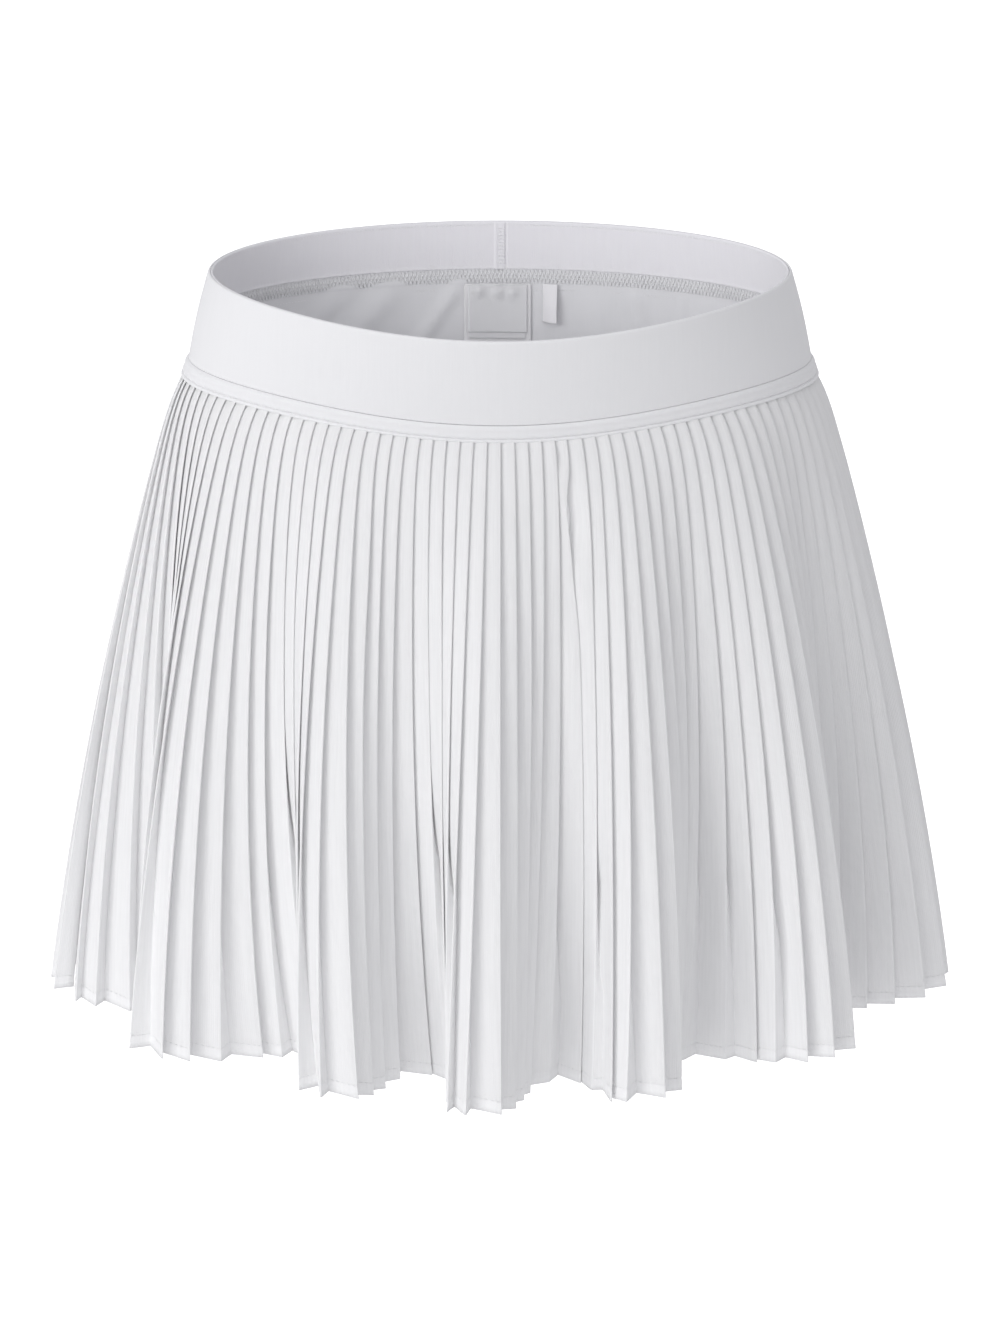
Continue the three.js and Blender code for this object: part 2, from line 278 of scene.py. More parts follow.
def band_ring(name, section, share, relief=0.0):
    """A ring carried round the band: a line for each (proud, down) of the section, a column for
    each share. relief moves points further out, and the flat places are the length round the
    band and the length walked along the section."""
    proud, down = np.array(section, float).T
    grid = band_place(*np.broadcast_arrays(share[None, :], down[:, None]))
    lines = grid + outward_of(grid) * (proud[:, None] + relief)[..., None]
    round_section = walked(np.vstack([section, section[:1]]))
    return swept_ring(name, lines, flat_places(np.append(share, 1) * waist_line[2], round_section))


def smooth_loop(corners, count):
    """A section's corners rounded off: a closed curve that each corner only pulls towards
    itself, a quadratic between the middles of neighbouring sides."""
    corner = np.array(corners, float)
    start, end = (corner + np.roll(corner, 1, 0)) / 2, (corner + np.roll(corner, -1, 0)) / 2
    t = np.linspace(0, 1, count, endpoint=False)[None, :, None]
    curve = (1 - t) ** 2 * start[:, None] + 2 * t * (1 - t) * corner[:, None] + t**2 * end[:, None]
    return curve.reshape(-1, 2)


# %% [markdown]
# ## The pleated cloth
# Knife pleats are cloth folded to and fro: a broad face that shows and a short return tucked
# behind it. At the band the folds lie flat on each other like shingles; at the hem they stand
# open. A cloth simulation could drape them, but it would need a very fine mesh to keep a crease,
# and folds placed by rules stay where they were pressed. The outer folds come first: each is a
# line down the cloth from the seam to the hem's waves.

# %% Outer folds of the pleats
SKIRT_LENGTH = 310       # from the seam to the hem's edge, along the cloth
PLEATS = 120
PLEAT_STEP_OUT = 5.0     # the stack of folds swells out below the piping
STEP_OUT_RUN = 14        # over about this length
STACK_BACK = 0.95        # where it starts, behind the seam oval
EARLY_SPREAD = 0.95      # above 0, the skirt widens faster near the band
WAVE_GROWTH = 1.25       # above 1, the waves grow mostly near the hem
SEAM_GAP = 0.3           # the folds start this far below the seam


def fold_plan(share, along):
    """From the seam oval to the flare oval, a little faster at first, plus the hem's waves
    growing in, plus the step out under the piping, which dies away down the cloth."""
    part = (along / SKIRT_LENGTH)[..., None]
    seam, flare = on_line(seam_line, share), on_line(flare_line, share)
    outward = seam / np.linalg.norm(seam, axis=-1, keepdims=True)
    spread = part + EARLY_SPREAD * part * (1 - part)
    step = (PLEAT_STEP_OUT * (1 - np.exp(-along[..., None] / STEP_OUT_RUN)) - STACK_BACK) * (1 - part)
    wave = on_line(waved_line, share) - flare
    return seam * (1 - spread) + flare * spread + wave * part**WAVE_GROWTH + outward * step


def fold_lines(share, rows):
    """Outer folds at each row. Cloth keeps its length, so what a fold travels outwards in a
    small step it loses in height: drop = root(step squared - travel squared)."""
    fine = np.arange(SKIRT_LENGTH + 1.0)
    share_at = np.array([np.interp(fine, rows, column) for column in share.T]).T
    plan = fold_plan(share_at, np.broadcast_to(fine[:, None], share_at.shape))
    travel = np.linalg.norm(np.diff(plan, axis=0), axis=-1)
    drop = np.sqrt(np.maximum(0, np.diff(fine)[:, None] ** 2 - travel**2))
    top = band_place(share[0], np.full(share.shape[1], float(SEAM_DROP)))[:, 2] - SEAM_GAP
    height = top - np.vstack([np.zeros(share.shape[1]), np.cumsum(drop, axis=0)])
    at_rows = np.searchsorted(fine, rows - 1e-6)
    return np.concatenate([plan[at_rows], height[at_rows][..., None]], -1)


# %% [markdown]
# Real pleats are never even. Some folds lean over their neighbour, some stand away, and one near
# the front was caught crookedly in the seam. Small shifts of each outer fold round the skirt do
# this: a seeded set of slow wanderings, and a table of given shifts.

# %% How unevenly the pleats hang
HEM_TURN = 6             # its stitches lie this far above the edge
STITCH_LINE = SKIRT_LENGTH - HEM_TURN
ROWS = np.array([0, 1.5, 3, 4.5, 6, 8, 10, 12, 15, 18, 21, 24, 28, 32, 36, 41, 46, 51, 56, 62, 68,
                 76, 84, 92, *range(100, 281, 9), 288, 295, 300, STITCH_LINE - 1, STITCH_LINE,
                 STITCH_LINE + 1, SKIRT_LENGTH - 3, SKIRT_LENGTH], float)
PITCH = 6.03             # millimetres from one outer fold to the next at the seam
WANDERING = (0.1, 0.1, 0.05)  # steady, late and mid-way, as shares of the pitch
MOST_SHIFTED = 0.6       # the same, so that folds keep their order
SHIFTS = [
    # pleat from centre front, millimetres round the skirt, along: middle and half length
    (5, -0.6, 4, 10), (5, -2.4, 32, 16), (5, -1.8, 58, 26), (6, 0.3, 50, 24),
    (-9, 0.9, 60, 40), (-14, -0.8, 90, 50), (2, 0.6, 110, 60), (11, -0.7, 80, 50),
    (-4, 0.7, 130, 60), (14, 0.8, 140, 70),
]


def bell(at, middle, half):
    """A bell curve of height 1: e to the power of -(distance from its middle / half) squared."""
    return np.exp(-((at - middle) / half) ** 2)


def pleat_shares(rows):
    """Share of each outer fold at each row: even spacing, plus the wanderings, plus the shifts.
    Over the part of the way down the wanderings are part, part squared and sine(pi x part)."""
    rng = np.random.default_rng(7)
    drift = rng.normal(0, 1, (3, PLEATS))
    drift -= drift.mean(axis=1, keepdims=True)
    part = rows[:, None] / SKIRT_LENGTH
    steady, late, mid_way = WANDERING
    swing = steady * part * drift[0] + late * part**2 * drift[1]
    swing += mid_way * np.sin(np.pi * part) * drift[2]
    for pleat, shift, middle, half in SHIFTS:
        swing[:, pleat % PLEATS] += shift / PITCH * bell(rows, middle, half)
    return (np.arange(PLEATS) + np.clip(swing, -MOST_SHIFTED, MOST_SHIFTED)) / PLEATS


outer_folds = fold_lines(pleat_shares(ROWS), ROWS)
print("outer folds", outer_folds.shape, "lowest", round(outer_folds[..., 2].min(), 1), "mm")

# %% [markdown]
# An inner fold lies inside its outer fold by a depth that grows down the skirt, and a short
# tuck behind it. Where folds bunch on the side of a wave there is little room, so rules keep each
# return leg clear of the faces beside it.
#
# The folds are pressed but the cloth has a thickness, so every fold is a small arc. The path
# winds round a circle at each fold, to and fro, and the straight legs are the tangents that
# cross from one circle to the next. Half the thickness to each side of that path gives the two
# sides of the cloth, and they can't run through each other at a sharp fold.

# %% The folded path
CLOTH = 0.24             # thickness of the pleated cloth
FOLD_RADIUS = 0.3
ARC_STEPS = 4
FACE_LEG = 14.5          # the widest face of a pleat
PRESSED_DEPTH = 1.25     # from outer to inner folds under the band
OPENED_DEPTH = 8.6       # and at the hem
DEPTH_GROWTH = 1.2       # above 1, the folds open mostly near the hem
DEPTH_UNEVEN = 0.12      # from pleat to pleat, as a share
LEAST_DEPTH = 0.8
DEEPEST = 0.6            # a share of the step: bunched folds stay shallow
DEEPEST_FACE = 0.9       # a share of the widest face
LEAST_STEP = 1.5
TUCKED = 4.2             # how far an inner fold may lie behind its outer fold
TUCK_SHARE = 0.28        # the same as a share of the step to the next outer fold
TUCK_GROWTH = 1.2        # more of it, for each millimetre that one lies further out
CLEAR_ANGLE = np.radians(12)  # between a return leg and the face before it
SLOPES = (0.05, 2.4)     # of the flattest and the steepest return leg, in radians
FOLD_GAP = 0.6           # least distance from an outer fold to the face passing inside it
LEAST_OUTWARD = 0.05     # keeps a divisor from being 0
MOST_OPEN = 0.45         # an inner fold may come forward by this share of the step
PASSES = 8               # moving a fold changes its neighbours, so the rules run again
BACK_POINTS = np.array([0.5])  # between the folds, as shares of the leg's width
FACE_POINTS = np.array([0.25, 0.5, 0.75])
DENT_SHAPE = np.array([0.6, 1, 0.7])  # share of a dent's depth at the points of a face
GAPES = [
    # outer fold; how much deeper and farther on its inner fold lies; along: middle, half length
    (5, 1.8, 5.8, 38, 18), (6, 0.4, 0.6, 70, 20), (-9, 0.6, 1.5, 90, 40), (14, 0.8, 1.5, 120, 60),
]
DENTS = [
    # pleat, depth of a dent in its face, along: middle and half length
    (4, 0.9, 11, 4), (4, -0.6, 24, 10),
]


def wanted_depth():
    """Depth of every fold at every row. A pressed crease wants to stay shut, so the depth grows
    slowly: least + (most - least) x part of the way down to a power, a little more or less from
    pleat to pleat."""
    uneven = 1 + DEPTH_UNEVEN * np.random.default_rng(11).normal(0, 1, PLEATS)
    part = (ROWS[:, None] / SKIRT_LENGTH) ** DEPTH_GROWTH
    return PRESSED_DEPTH + (OPENED_DEPTH - PRESSED_DEPTH) * part * uneven


def skirt_way(outer):
    """Direction of the skirt at every outer fold, and how far it turns there. It is that of the
    outer folds' line smoothed over eleven of them, with weights that fall off evenly, so that
    folds bunched on the side of a wave still face outwards."""
    guide = sum((6 - abs(k)) * np.roll(outer[..., :2], k, axis=1) for k in range(-5, 6))
    way = np.roll(guide, -1, axis=1) - np.roll(guide, 1, axis=1)
    bearing = np.arctan2(way[..., 1], way[..., 0])
    turn = np.mod(bearing - np.roll(bearing, 1, axis=1) + np.pi, 2 * np.pi) - np.pi
    return way / np.linalg.norm(way, axis=-1, keepdims=True), turn


def reach_back(depth, onward, inward, turn, gaping):
    """How far behind an outer fold its inner fold lies: at most a share of the step onward to
    the next outer fold, and more where that one lies further out (inward is less than 0). The
    widest face would reach root(face squared - (depth - inward) squared) less the step. But the
    return leg has to lie inside the face before it, so its slope, depth / reach, is at least
    that face's slope plus the turn and a little more. And the face after it has to pass inside
    the outer fold: (depth x onward + reach x inward) / face is at least a gap. A gaping fold
    then lies farther on."""
    rise = depth - inward
    full = np.minimum(TUCKED, TUCK_SHARE * onward + np.maximum(0, -TUCK_GROWTH * inward))
    full = np.minimum(full, np.sqrt(np.maximum(1, FACE_LEG**2 - rise**2)) - onward)
    reach = full
    for _ in range(PASSES):
        before = np.roll(np.arctan2(rise, reach + onward), 1, axis=1)
        slope = np.clip(before + turn + CLEAR_ANGLE, *SLOPES)
        passing = depth * onward - FOLD_GAP * np.hypot(rise, reach + onward)
        passing = np.where(inward < 0, passing / np.maximum(LEAST_OUTWARD, -inward), full)
        reach = np.minimum(np.minimum(full, depth / np.tan(slope)), passing)
        reach = np.maximum(reach - gaping, -MOST_OPEN * onward)
    return reach


def inner_folds(outer):
    """Each inner fold lies inside its outer fold by its depth, and behind it by its reach back,
    square to and along the skirt's direction there."""
    along, turn = skirt_way(outer)
    square = np.stack([-along[..., 1], along[..., 0]], -1)
    step = np.roll(outer, -1, axis=1) - outer
    onward, inward = (step[..., :2] * along).sum(-1), (step[..., :2] * square).sum(-1)
    onward = np.maximum(LEAST_STEP, onward)
    room = np.minimum(DEEPEST_FACE * FACE_LEG + inward, DEEPEST * onward)
    depth = np.clip(wanted_depth(), LEAST_DEPTH, np.maximum(LEAST_DEPTH, room))
    gaping = np.zeros_like(depth)
    for fold, extra, farther, middle, half in GAPES:
        depth[:, fold % PLEATS] += extra * bell(ROWS, middle, half)
        gaping[:, fold % PLEATS] += farther * bell(ROWS, middle, half)
    back = reach_back(depth, onward, inward, turn, gaping)
    plan = outer[..., :2] - along * back[..., None] + square * depth[..., None]
    return np.concatenate([plan, outer[..., 2:]], -1)


def folded_path(outer, side):
    """Points of the cloth at one side of its middle, a row for each row of folds. side is the
    distance to the right of the path, which is outwards on the faces, for every row."""
    centre = np.stack([outer, inner_folds(outer)], 2).reshape(len(outer), -1, 3)
    way = np.roll(centre, -1, axis=1) - centre
    reach = np.hypot(way[..., 0], way[..., 1])
    turn = np.where(np.arange(centre.shape[1]) % 2 == 0, 1.0, -1.0)
    leave = np.arctan2(way[..., 1], way[..., 0]) + turn * np.arcsin(2 * FOLD_RADIUS / reach)
    arrive = np.roll(leave, 1, axis=1)
    sweep = np.mod(turn * (leave - arrive), 2 * np.pi)
    angle = arrive[..., None] + (turn * sweep)[..., None] * np.linspace(0, 1, ARC_STEPS)
    radius = (turn * FOLD_RADIUS + side[:, None])[..., None]
    arc = centre[..., None, :] + np.stack(
        [radius * np.sin(angle), -radius * np.cos(angle), 0 * angle], -1)
    start, end = arc[..., -1, :], np.roll(arc[..., 0, :], -1, axis=1)
    span = (end - start)[..., None, :]
    back = start[:, 0::2, None] + span[:, 0::2] * BACK_POINTS[:, None]
    face = start[:, 1::2, None] + span[:, 1::2] * FACE_POINTS[:, None]
    square = right_of(span[:, 1::2])
    for pleat, depth, middle, half in DENTS:
        dent = depth * bell(ROWS, middle, half)[:, None, None]
        face[:, pleat % PLEATS] -= square[:, pleat % PLEATS] * dent * DENT_SHAPE[:, None]
    return np.concatenate([arc[:, 0::2], back, arc[:, 1::2], face], 2)


HEM_PINCH = (0.2, 0.7)   # depth and half width: the stitches pull the right side in
HEM_EXTRA = 0.17         # the turned-up cloth stands behind the wrong side

pinch = HEM_PINCH[0] * bell(ROWS, STITCH_LINE, HEM_PINCH[1])
turned_up = np.where(ROWS >= STITCH_LINE, HEM_EXTRA, 0)
right_side = folded_path(outer_folds, CLOTH / 2 - pinch)
wrong_side = folded_path(outer_folds, -CLOTH / 2 - turned_up)
print("points round each row", right_side.shape[1] * right_side.shape[2])

# %% Skirt front and back
STEPS = right_side.shape[2]
FIRST_OF = {"skirt_front": -PLEATS // 4 + 1, "skirt_back": PLEATS // 4 + 1}


def panel(name, first):
    """Half of the pleats, from the middle of the inner fold at one side seam to the other."""
    lead = ARC_STEPS + 1 + ARC_STEPS // 2
    order = np.arange(first, first + PLEATS // 2) % PLEATS

    def strip(side):
        rows = side[:, order].reshape(len(ROWS), -1, 3)
        before = side[:, order[0] - 1, lead:]
        return np.concatenate([before, rows[:, :lead - 1 - STEPS]], axis=1)

    outer, inner = strip(right_side), strip(wrong_side)
    across = walked((outer[-1] + inner[-1]) / 2)
    piece = wall(name, outer, inner, flat_places(across, ROWS), ring=False)
    print(name, "was cut", round(across[-1]), "mm wide")
    return piece, across[-1]


skirt = {name: panel(name + "_cloth", first) for name, first in FIRST_OF.items()}

# %% [markdown]
# ## Waistband and piping
# The band is a broad strip of smooth elastic knit, turned over at the waist and faced inside.
# The piping is a narrow folded strip sewn between band and pleats, so it swells into a roll.
# Both could be modelled straight and bent into place; a section carried round the waist oval is
# shorter and stays exactly on the band's surface.

# %% Waistband
COLUMNS = 720
BAND_WALL = 1.2
BAND_SWELL = 0.7
FACING_DEPTH = 21.6
FACING_BACK = 2.5        # the facing's inner face, behind the band's outer face


def band_section():
    """Outer face, a tuck over the piping, straight up the inside, and the turned edge, each
    point as (proud, down). The face swells by size x sine(pi x part of the way down)."""
    down = np.linspace(1.2, BAND_DROP - 1.2, 22)
    face = np.stack([BAND_SWELL * np.sin(np.pi * (down / BAND_DROP)), down], -1)
    tuck = [(-0.02, BAND_DROP - 0.5), (-0.12, BAND_DROP - 0.12), (-0.6, BAND_DROP - 0.02)]
    inside = [(-BAND_WALL, BAND_DROP - 0.6), (-BAND_WALL, 20), (-BAND_WALL, 0.8)]
    lip = [(-1.15, 0.3), (-1.0, 0.08), (-0.75, 0.0), (-0.45, 0.06), (-0.15, 0.35)]
    return np.vstack([face, tuck, inside, lip])


even = np.arange(COLUMNS) / COLUMNS
waistband = band_ring("waistband_knit", band_section(), even)

# %% Piping under the band
ROLL = [(-1.0, 0.06), (-0.1, 0.06), (0.3, 0.2), (1.0, 1.1), (1.3, 2.1), (1.0, 3.3), (1.5, 4.7),
        (1.4, 5.9)]
RIDGE = [(0.7, 6.3), (0.8, 6.6), (1.6, 6.8), (1.75, 7.4), (1.65, 8.0), (1.35, 8.25), (1.1, 8.0)]
BEHIND = [(0.95, 7.0), (0.4, 6.2), (0.1, 5.1), (-0.8, 4.9), (-1.1, 4.3), (-1.1, 0.6)]
piping_section = smooth_loop([(proud, BAND_DROP + down) for proud, down in ROLL + RIDGE + BEHIND], 4)
piping = band_ring("piping_roll", piping_section, even)

# %% [markdown]
# ## Facing inside the band
# Inside, a facing hides the elastic. Its lower edge is turned into a thin ridge, and at centre
# back the strip is joined, with the allowance stitched down on both sides. From the front only
# the back half shows, lit through the waist opening.

# %% Facing
facing_section = np.array(
    [(-1.3, 0.7), (-1.3, FACING_DEPTH - 1.3), (-2.1, FACING_DEPTH - 1.2), (-2.4, FACING_DEPTH - 0.9),
     (-2.45, FACING_DEPTH - 0.2), (-2.6, FACING_DEPTH), (-2.78, FACING_DEPTH - 0.15),
     (-2.88, FACING_DEPTH - 0.6), (-2.8, FACING_DEPTH - 0.95), (-2.58, FACING_DEPTH - 1.3)]
    + [(-FACING_BACK, down) for down in (FACING_DEPTH - 2, 16, 12, 8, 5, 3.4, 2.2)]
    + [(-2.4, 1.7), (-2.45, 1.2), (-2.35, 0.6), (-2.1, 0.2), (-1.7, 0.03), (-1.4, 0.2)])


def back_seam_relief(x):
    """Where the strip's ends are joined, x millimetres to +X of centre back: the allowance is a
    low flat ridge with a raised left edge, and a groove runs down its right side. Each edge is
    a smooth step, half of 1 + tanh of the distance."""
    left, rim_end, right, groove_at = -2.6, -1.2, 2.3, 2.8

    def edge(at):
        return 0.5 + 0.5 * np.tanh((x - at) / 0.4)

    strip, rim = edge(left) - edge(right), edge(left) - edge(rim_end)
    return 0.4 * bell(x, groove_at, 0.5) - 0.25 * strip - 0.25 * rim


near_seam = 0.5 + np.arange(-5, 5.01, 0.25) / waist_line[2]  # closer columns at the join
facing_share = np.union1d(even[np.abs(even - 0.5) > 5.2 / waist_line[2]], near_seam)
on_show = (facing_section[:, 0] <= -2.35) & (facing_section[:, 1] > 1)
relief = on_show[:, None] * back_seam_relief((0.5 - facing_share) * waist_line[2])
facing = band_ring("facing_knit", facing_section, facing_share, relief)

# %% Patches on the band's surface
def patch(name, centre, across, top, bottom, back, thick, lift):
    """A thin rectangle inside the garment at centre back. centre is millimetres to +X, back(down)
    how far behind the band's surface it lies, and lift(x, y) how much further in, over shares
    of its sides."""
    x = y = np.linspace(0, 1, 33)
    sideways = centre + across * (0.5 - x)
    share = 0.5 - sideways / waist_line[2]
    down = (top + (bottom - top) * y)[:, None]
    grid = band_place(*np.broadcast_arrays(share[None, :], down))
    square = square_to(grid)
    push = (back(down) + lift(*np.meshgrid(x, y)))[..., None]
    flat = flat_places(across * x, (bottom - top) * y)
    return wall(name, grid - square * push, grid - square * (push + thick), flat, ring=False)


# %% [markdown]
# ## Inner shorts
# The shorts are two tubes of fine jersey joined at the middle above the crotch. Each is drawn
# as lines of points at a few heights, front middle to back middle round the outside, and a
# smooth curve down each column of points fills the heights between. Slack cloth at the back
# hangs in soft folds, each a shallow trough along a line of its own.

# %% Shorts
SHORTS_TOP = FACING_DEPTH - 0.7  # the raw edge is tucked behind the facing's ridge
COVERED_TO = FACING_DEPTH + 5.6  # the seam allowance under the covering threads ends here
ALLOWANCE = 0.35         # how much thicker that allowance is
TOP_INSET = 1.6          # from the band's surface to the shorts, at their top
SEAM_INSET = 3.4         # and at the band's seam
SHORTS_CLOTH = 0.5
MIDDLE_GAP = 0.02        # from each half to the middle of the body
LEG_COLUMNS = 144
LEG_HEM = (272, 0.35)    # where the legs' hem begins, and how much thicker it is
FOLDS_BEHIND = (20, 6)   # folds fade in this far behind the body's middle, and how fast
SETTLE = 6               # and over this length below the top
PATTERN_ROW = 6          # the row whose length the flat places follow
HIP_DROPS = [SHORTS_TOP, 29, 38, SEAM_DROP]
LEG_SECTIONS = [
    # drop, centre, half width, half depth
    (85, 0, 146, 75), (135, 8, 137, 76), (180, 42, 101, 73), (212, 64, 79, 69),
    (228, 71, 73.5, 67), (238, 74, 71.5, 66), (290, 80, 66, 62),
]
FOLDS = [
    # sideways and drop of the fold's two ends, half width, depth: millimetres, at the back
    (-21, 30, -44, 60, 3.2, 2.6), (-52, 31, -84, 60, 6.0, 2.8), (-74, 29, -104, 52, 5.0, 1.8),
    (44, 34, 56, 70, 6.0, 1.8), (63, 30, 69, 46, 2.4, 1.8), (86, 29, 88, 52, 1.4, 0.9),
    (18, 52, 10, 96, 6.0, 1.5), (-14, 64, -18, 110, 7.0, 1.5), (98, 40, 116, 92, 8.0, 2.0),
    (-110, 46, -124, 100, 8.0, 1.8),
]
SHORTS_ROWS = np.concatenate([
    np.linspace(SHORTS_TOP, COVERED_TO + 1.2, 12),  # under the covering threads
    np.linspace(30, 70, 21),  # the folds that show
    np.linspace(73, LEG_SECTIONS[-1][0], 62),
])


def shorts_inset(down):
    """How far the shorts' outer face lies behind the band's surface: more towards the seam."""
    return np.interp(down, [SHORTS_TOP, SEAM_DROP], [TOP_INSET, SEAM_INSET])


def leg_lines():
    """Lines at the section heights. On the band: half of its ring, moved in. Below: an ellipse
    round the leg's centre, open where it would cross the middle of the body. Columns are closer
    at both ends, where the halves are joined."""
    q = np.concatenate([[0, 0.0006], np.linspace(0.003, 0.997, LEG_COLUMNS - 1), [0.9994, 1]])
    lines = []
    for down in HIP_DROPS:
        line = band_place(q / 2, np.full_like(q, down))
        line -= square_to(line) * shorts_inset(down)
        line[[0, -1], 0] = MIDDLE_GAP
        lines.append(line)
    for drop, centre, half_width, half_depth in LEG_SECTIONS:
        open_turn = np.arccos(max(-1, (MIDDLE_GAP - centre) / half_width))
        turn = (2 * q - 1) * min(open_turn, np.pi - MIDDLE_GAP / half_depth)
        x = np.maximum(MIDDLE_GAP, centre + half_width * np.cos(turn))
        lines.append(np.stack([x, half_depth * np.sin(turn), 0 * x - drop], -1))
    return np.array(lines)


def smooth_rows(lines, at, rows):
    """Cubic curves down each column: slopes are those of a parabola through three lines."""
    slope = np.gradient(lines, at, axis=0)
    low = np.clip(np.searchsorted(at, rows, side="right") - 1, 0, len(at) - 2)
    gap = (at[low + 1] - at[low])[:, None, None]
    t = ((rows - at[low])[:, None, None]) / gap
    return cubic(t, lines[low], lines[low + 1], gap * slope[low], gap * slope[low + 1])


def fold_depth(x, drop, side):
    """Sum of the folds: each is a bell curve across its line, fading beyond its ends."""
    total = np.zeros_like(x)
    for x0, drop0, x1, drop1, half, depth in FOLDS:
        way = np.array([x1 - x0, drop1 - drop0], float)
        length = np.hypot(*way)
        t = ((x * side - x0) * way[0] + (drop - drop0) * way[1]) / length**2
        off = ((x * side - x0) * way[1] - (drop - drop0) * way[0]) / length
        ends = 1 / (1 + np.exp(-12 * t)) / (1 + np.exp(12 * (t - 1)))
        total += depth * bell(off, 0, half) * ends
    return total


def shorts_half(name, side):
    """One leg with its half of the hips; side is 1 on the wearer's left and -1 on the right."""
    at = np.array(HIP_DROPS + [section[0] for section in LEG_SECTIONS])
    grid = smooth_rows(leg_lines(), at, SHORTS_ROWS)
    grid[..., 0] = np.maximum(MIDDLE_GAP, grid[..., 0])
    square = square_to(grid)
    behind = 1 / (1 + np.exp(-(grid[..., 1] - FOLDS_BEHIND[0]) / FOLDS_BEHIND[1]))
    drop = np.broadcast_to(SHORTS_ROWS[:, None], grid.shape[:2])
    settle = np.clip((drop - SHORTS_TOP) / SETTLE, 0, 1)
    outer = grid - square * (fold_depth(grid[..., 0], drop, side) * behind * settle)[..., None]
    extra = np.clip((drop - LEG_HEM[0]) / 0.8, 0, 1) * LEG_HEM[1]
    extra += ALLOWANCE * (0.5 - 0.5 * np.tanh((drop - COVERED_TO - 0.4) / 0.3))
    inner = outer - square * (SHORTS_CLOTH + extra)[..., None]
    inner[..., 0] = np.maximum(MIDDLE_GAP, inner[..., 0])
    flat = flat_places(walked(grid[PATTERN_ROW]), SHORTS_ROWS)
    if side < 0:
        outer, inner = (g[:, ::-1] * np.array([-1, 1, 1]) for g in (outer, inner))
    return wall(name, outer, inner, flat, ring=False)


shorts = [shorts_half("shorts_jersey_left", 1), shorts_half("shorts_jersey_right", -1)]

# %% [markdown]
# ## Labels
# A care label and a small size tag are caught in the seam at centre back. The care label is
# three leaves of satin tape laid on each other, each a little shorter than the one behind, and
# the seam under it lifts two soft puffs near its top. The tag is a folded ribbon, cupped across
# and turned, so that it stands off. All are left without printing.

# %% Labels
LEAVES = [
    # name, width, upper edge, lower edge, how far before the leaf behind
    ("care_label_tape", 32.6, 28.0, 56.0, 0.0), ("care_label_middle_leaf", 27.2, 28.2, 52.2, 0.35),
    ("care_label_front_leaf", 28.8, 28.4, 49.3, 0.7),
]


def on_shorts(before):
    """Distance behind the band's surface at a drop, for what lies before the shorts' inner face."""
    return lambda down: shorts_inset(down) + SHORTS_CLOTH + before


def label_lift(x, y):
    """Puffs near the top, each a bell curve of the distance to its middle, and one side that
    stands off more and more towards the free lower edge: rise x share across x root(share down)."""
    puffs, wide, high = [(0.50, 0.12), (0.25, 0.12), (0.82, 0.1)], 0.1, 0.15
    lift = sum(np.exp(-((x - px) / wide) ** 2 - ((y - py) / high) ** 2) for px, py in puffs)
    return 1.7 * lift + 1.2 * (1 - x) * np.sqrt(y)


care_label = [patch(name, -1.2, width, top, bottom, on_shorts(0.3 + front), 0.22, label_lift)
              for name, width, top, bottom, front in LEAVES]


def tag_lift(x, y):
    """One side stands off, and the ribbon is cupped: rise x share across + cup x sine across,
    both starting at the seam."""
    return (4.2 * (1 - x) + 1.0 * np.sin(np.pi * x)) * np.clip(0.3 + 1.2 * y, 0, 1)


TAG_DROPS = (27.8, 44.4)  # its upper and lower edge
size_tag = patch("size_tag_tape", 24.4, 7.2, *TAG_DROPS, on_shorts(0.3), 0.6, tag_lift)

# %% [markdown]
# ## Stitches
# A stitch shows as a short, slightly sunken thread. Each is a small closed lozenge of 10 faces,
# and a whole row is one mesh, worked out for every place at once: tiny ones at the waist edge,
# the ladder over the joined ends, the threads that cover the shorts' raw edge, and the hems.

# %% Stitches
def stitch_row(name, places, ways, outs, length, thick):
    """Lozenges at places, lying along ways and standing along outs: 3 rings of 4 points, whose
    end rings are small, closed by end faces."""
    ways = ways / np.linalg.norm(ways, axis=-1, keepdims=True)
    sides = np.cross(outs, ways)
    sides /= np.linalg.norm(sides, axis=-1, keepdims=True)
    outs = np.cross(ways, sides)
    ends, sizes = np.array([-0.5, 0, 0.5]) * length, np.array([0.35, 1, 0.35]) * thick / 2
    turn = np.arange(4) * np.pi / 2
    ring = (np.cos(turn)[:, None, None] * sides + np.sin(turn)[:, None, None] * outs)
    points = places + ends[:, None, None, None] * ways + sizes[:, None, None, None] * ring
    points = points.transpose(2, 0, 1, 3).reshape(-1, 3)
    corner = np.arange(4)
    tube = np.vstack([np.stack([r * 4 + corner, r * 4 + (corner + 1) % 4,
                                r * 4 + 4 + (corner + 1) % 4, r * 4 + 4 + corner], -1) for r in (0, 1)])
    faces = np.vstack([tube, [[3, 2, 1, 0]], [[8, 9, 10, 11]]])
    faces = (np.arange(len(places))[:, None, None] * 12 + faces).reshape(-1, 4)
    return put_mesh(name, points, faces, np.zeros((len(faces), 4, 2)))


def inside_place(x, down, back):
    """Points inside the band: x millimetres round it from centre back towards +X."""
    share = 0.5 - np.asarray(x) / waist_line[2]
    here = band_place(share, down)
    outs = right_of(band_place(share + 0.001, down) - here)
    return here - outs * back, outs


def inside_stitches(name, starts, ends, back, thick):
    """Threads from start to end, each given as (x, down), back(down) behind the band."""
    first, outs = inside_place(*starts.T, back(starts[:, 1:]))
    last, _ = inside_place(*ends.T, back(ends[:, 1:]))
    length = np.linalg.norm(last - first, axis=-1).mean()
    return stitch_row(name, (first + last) / 2, last - first, -outs, length, thick)


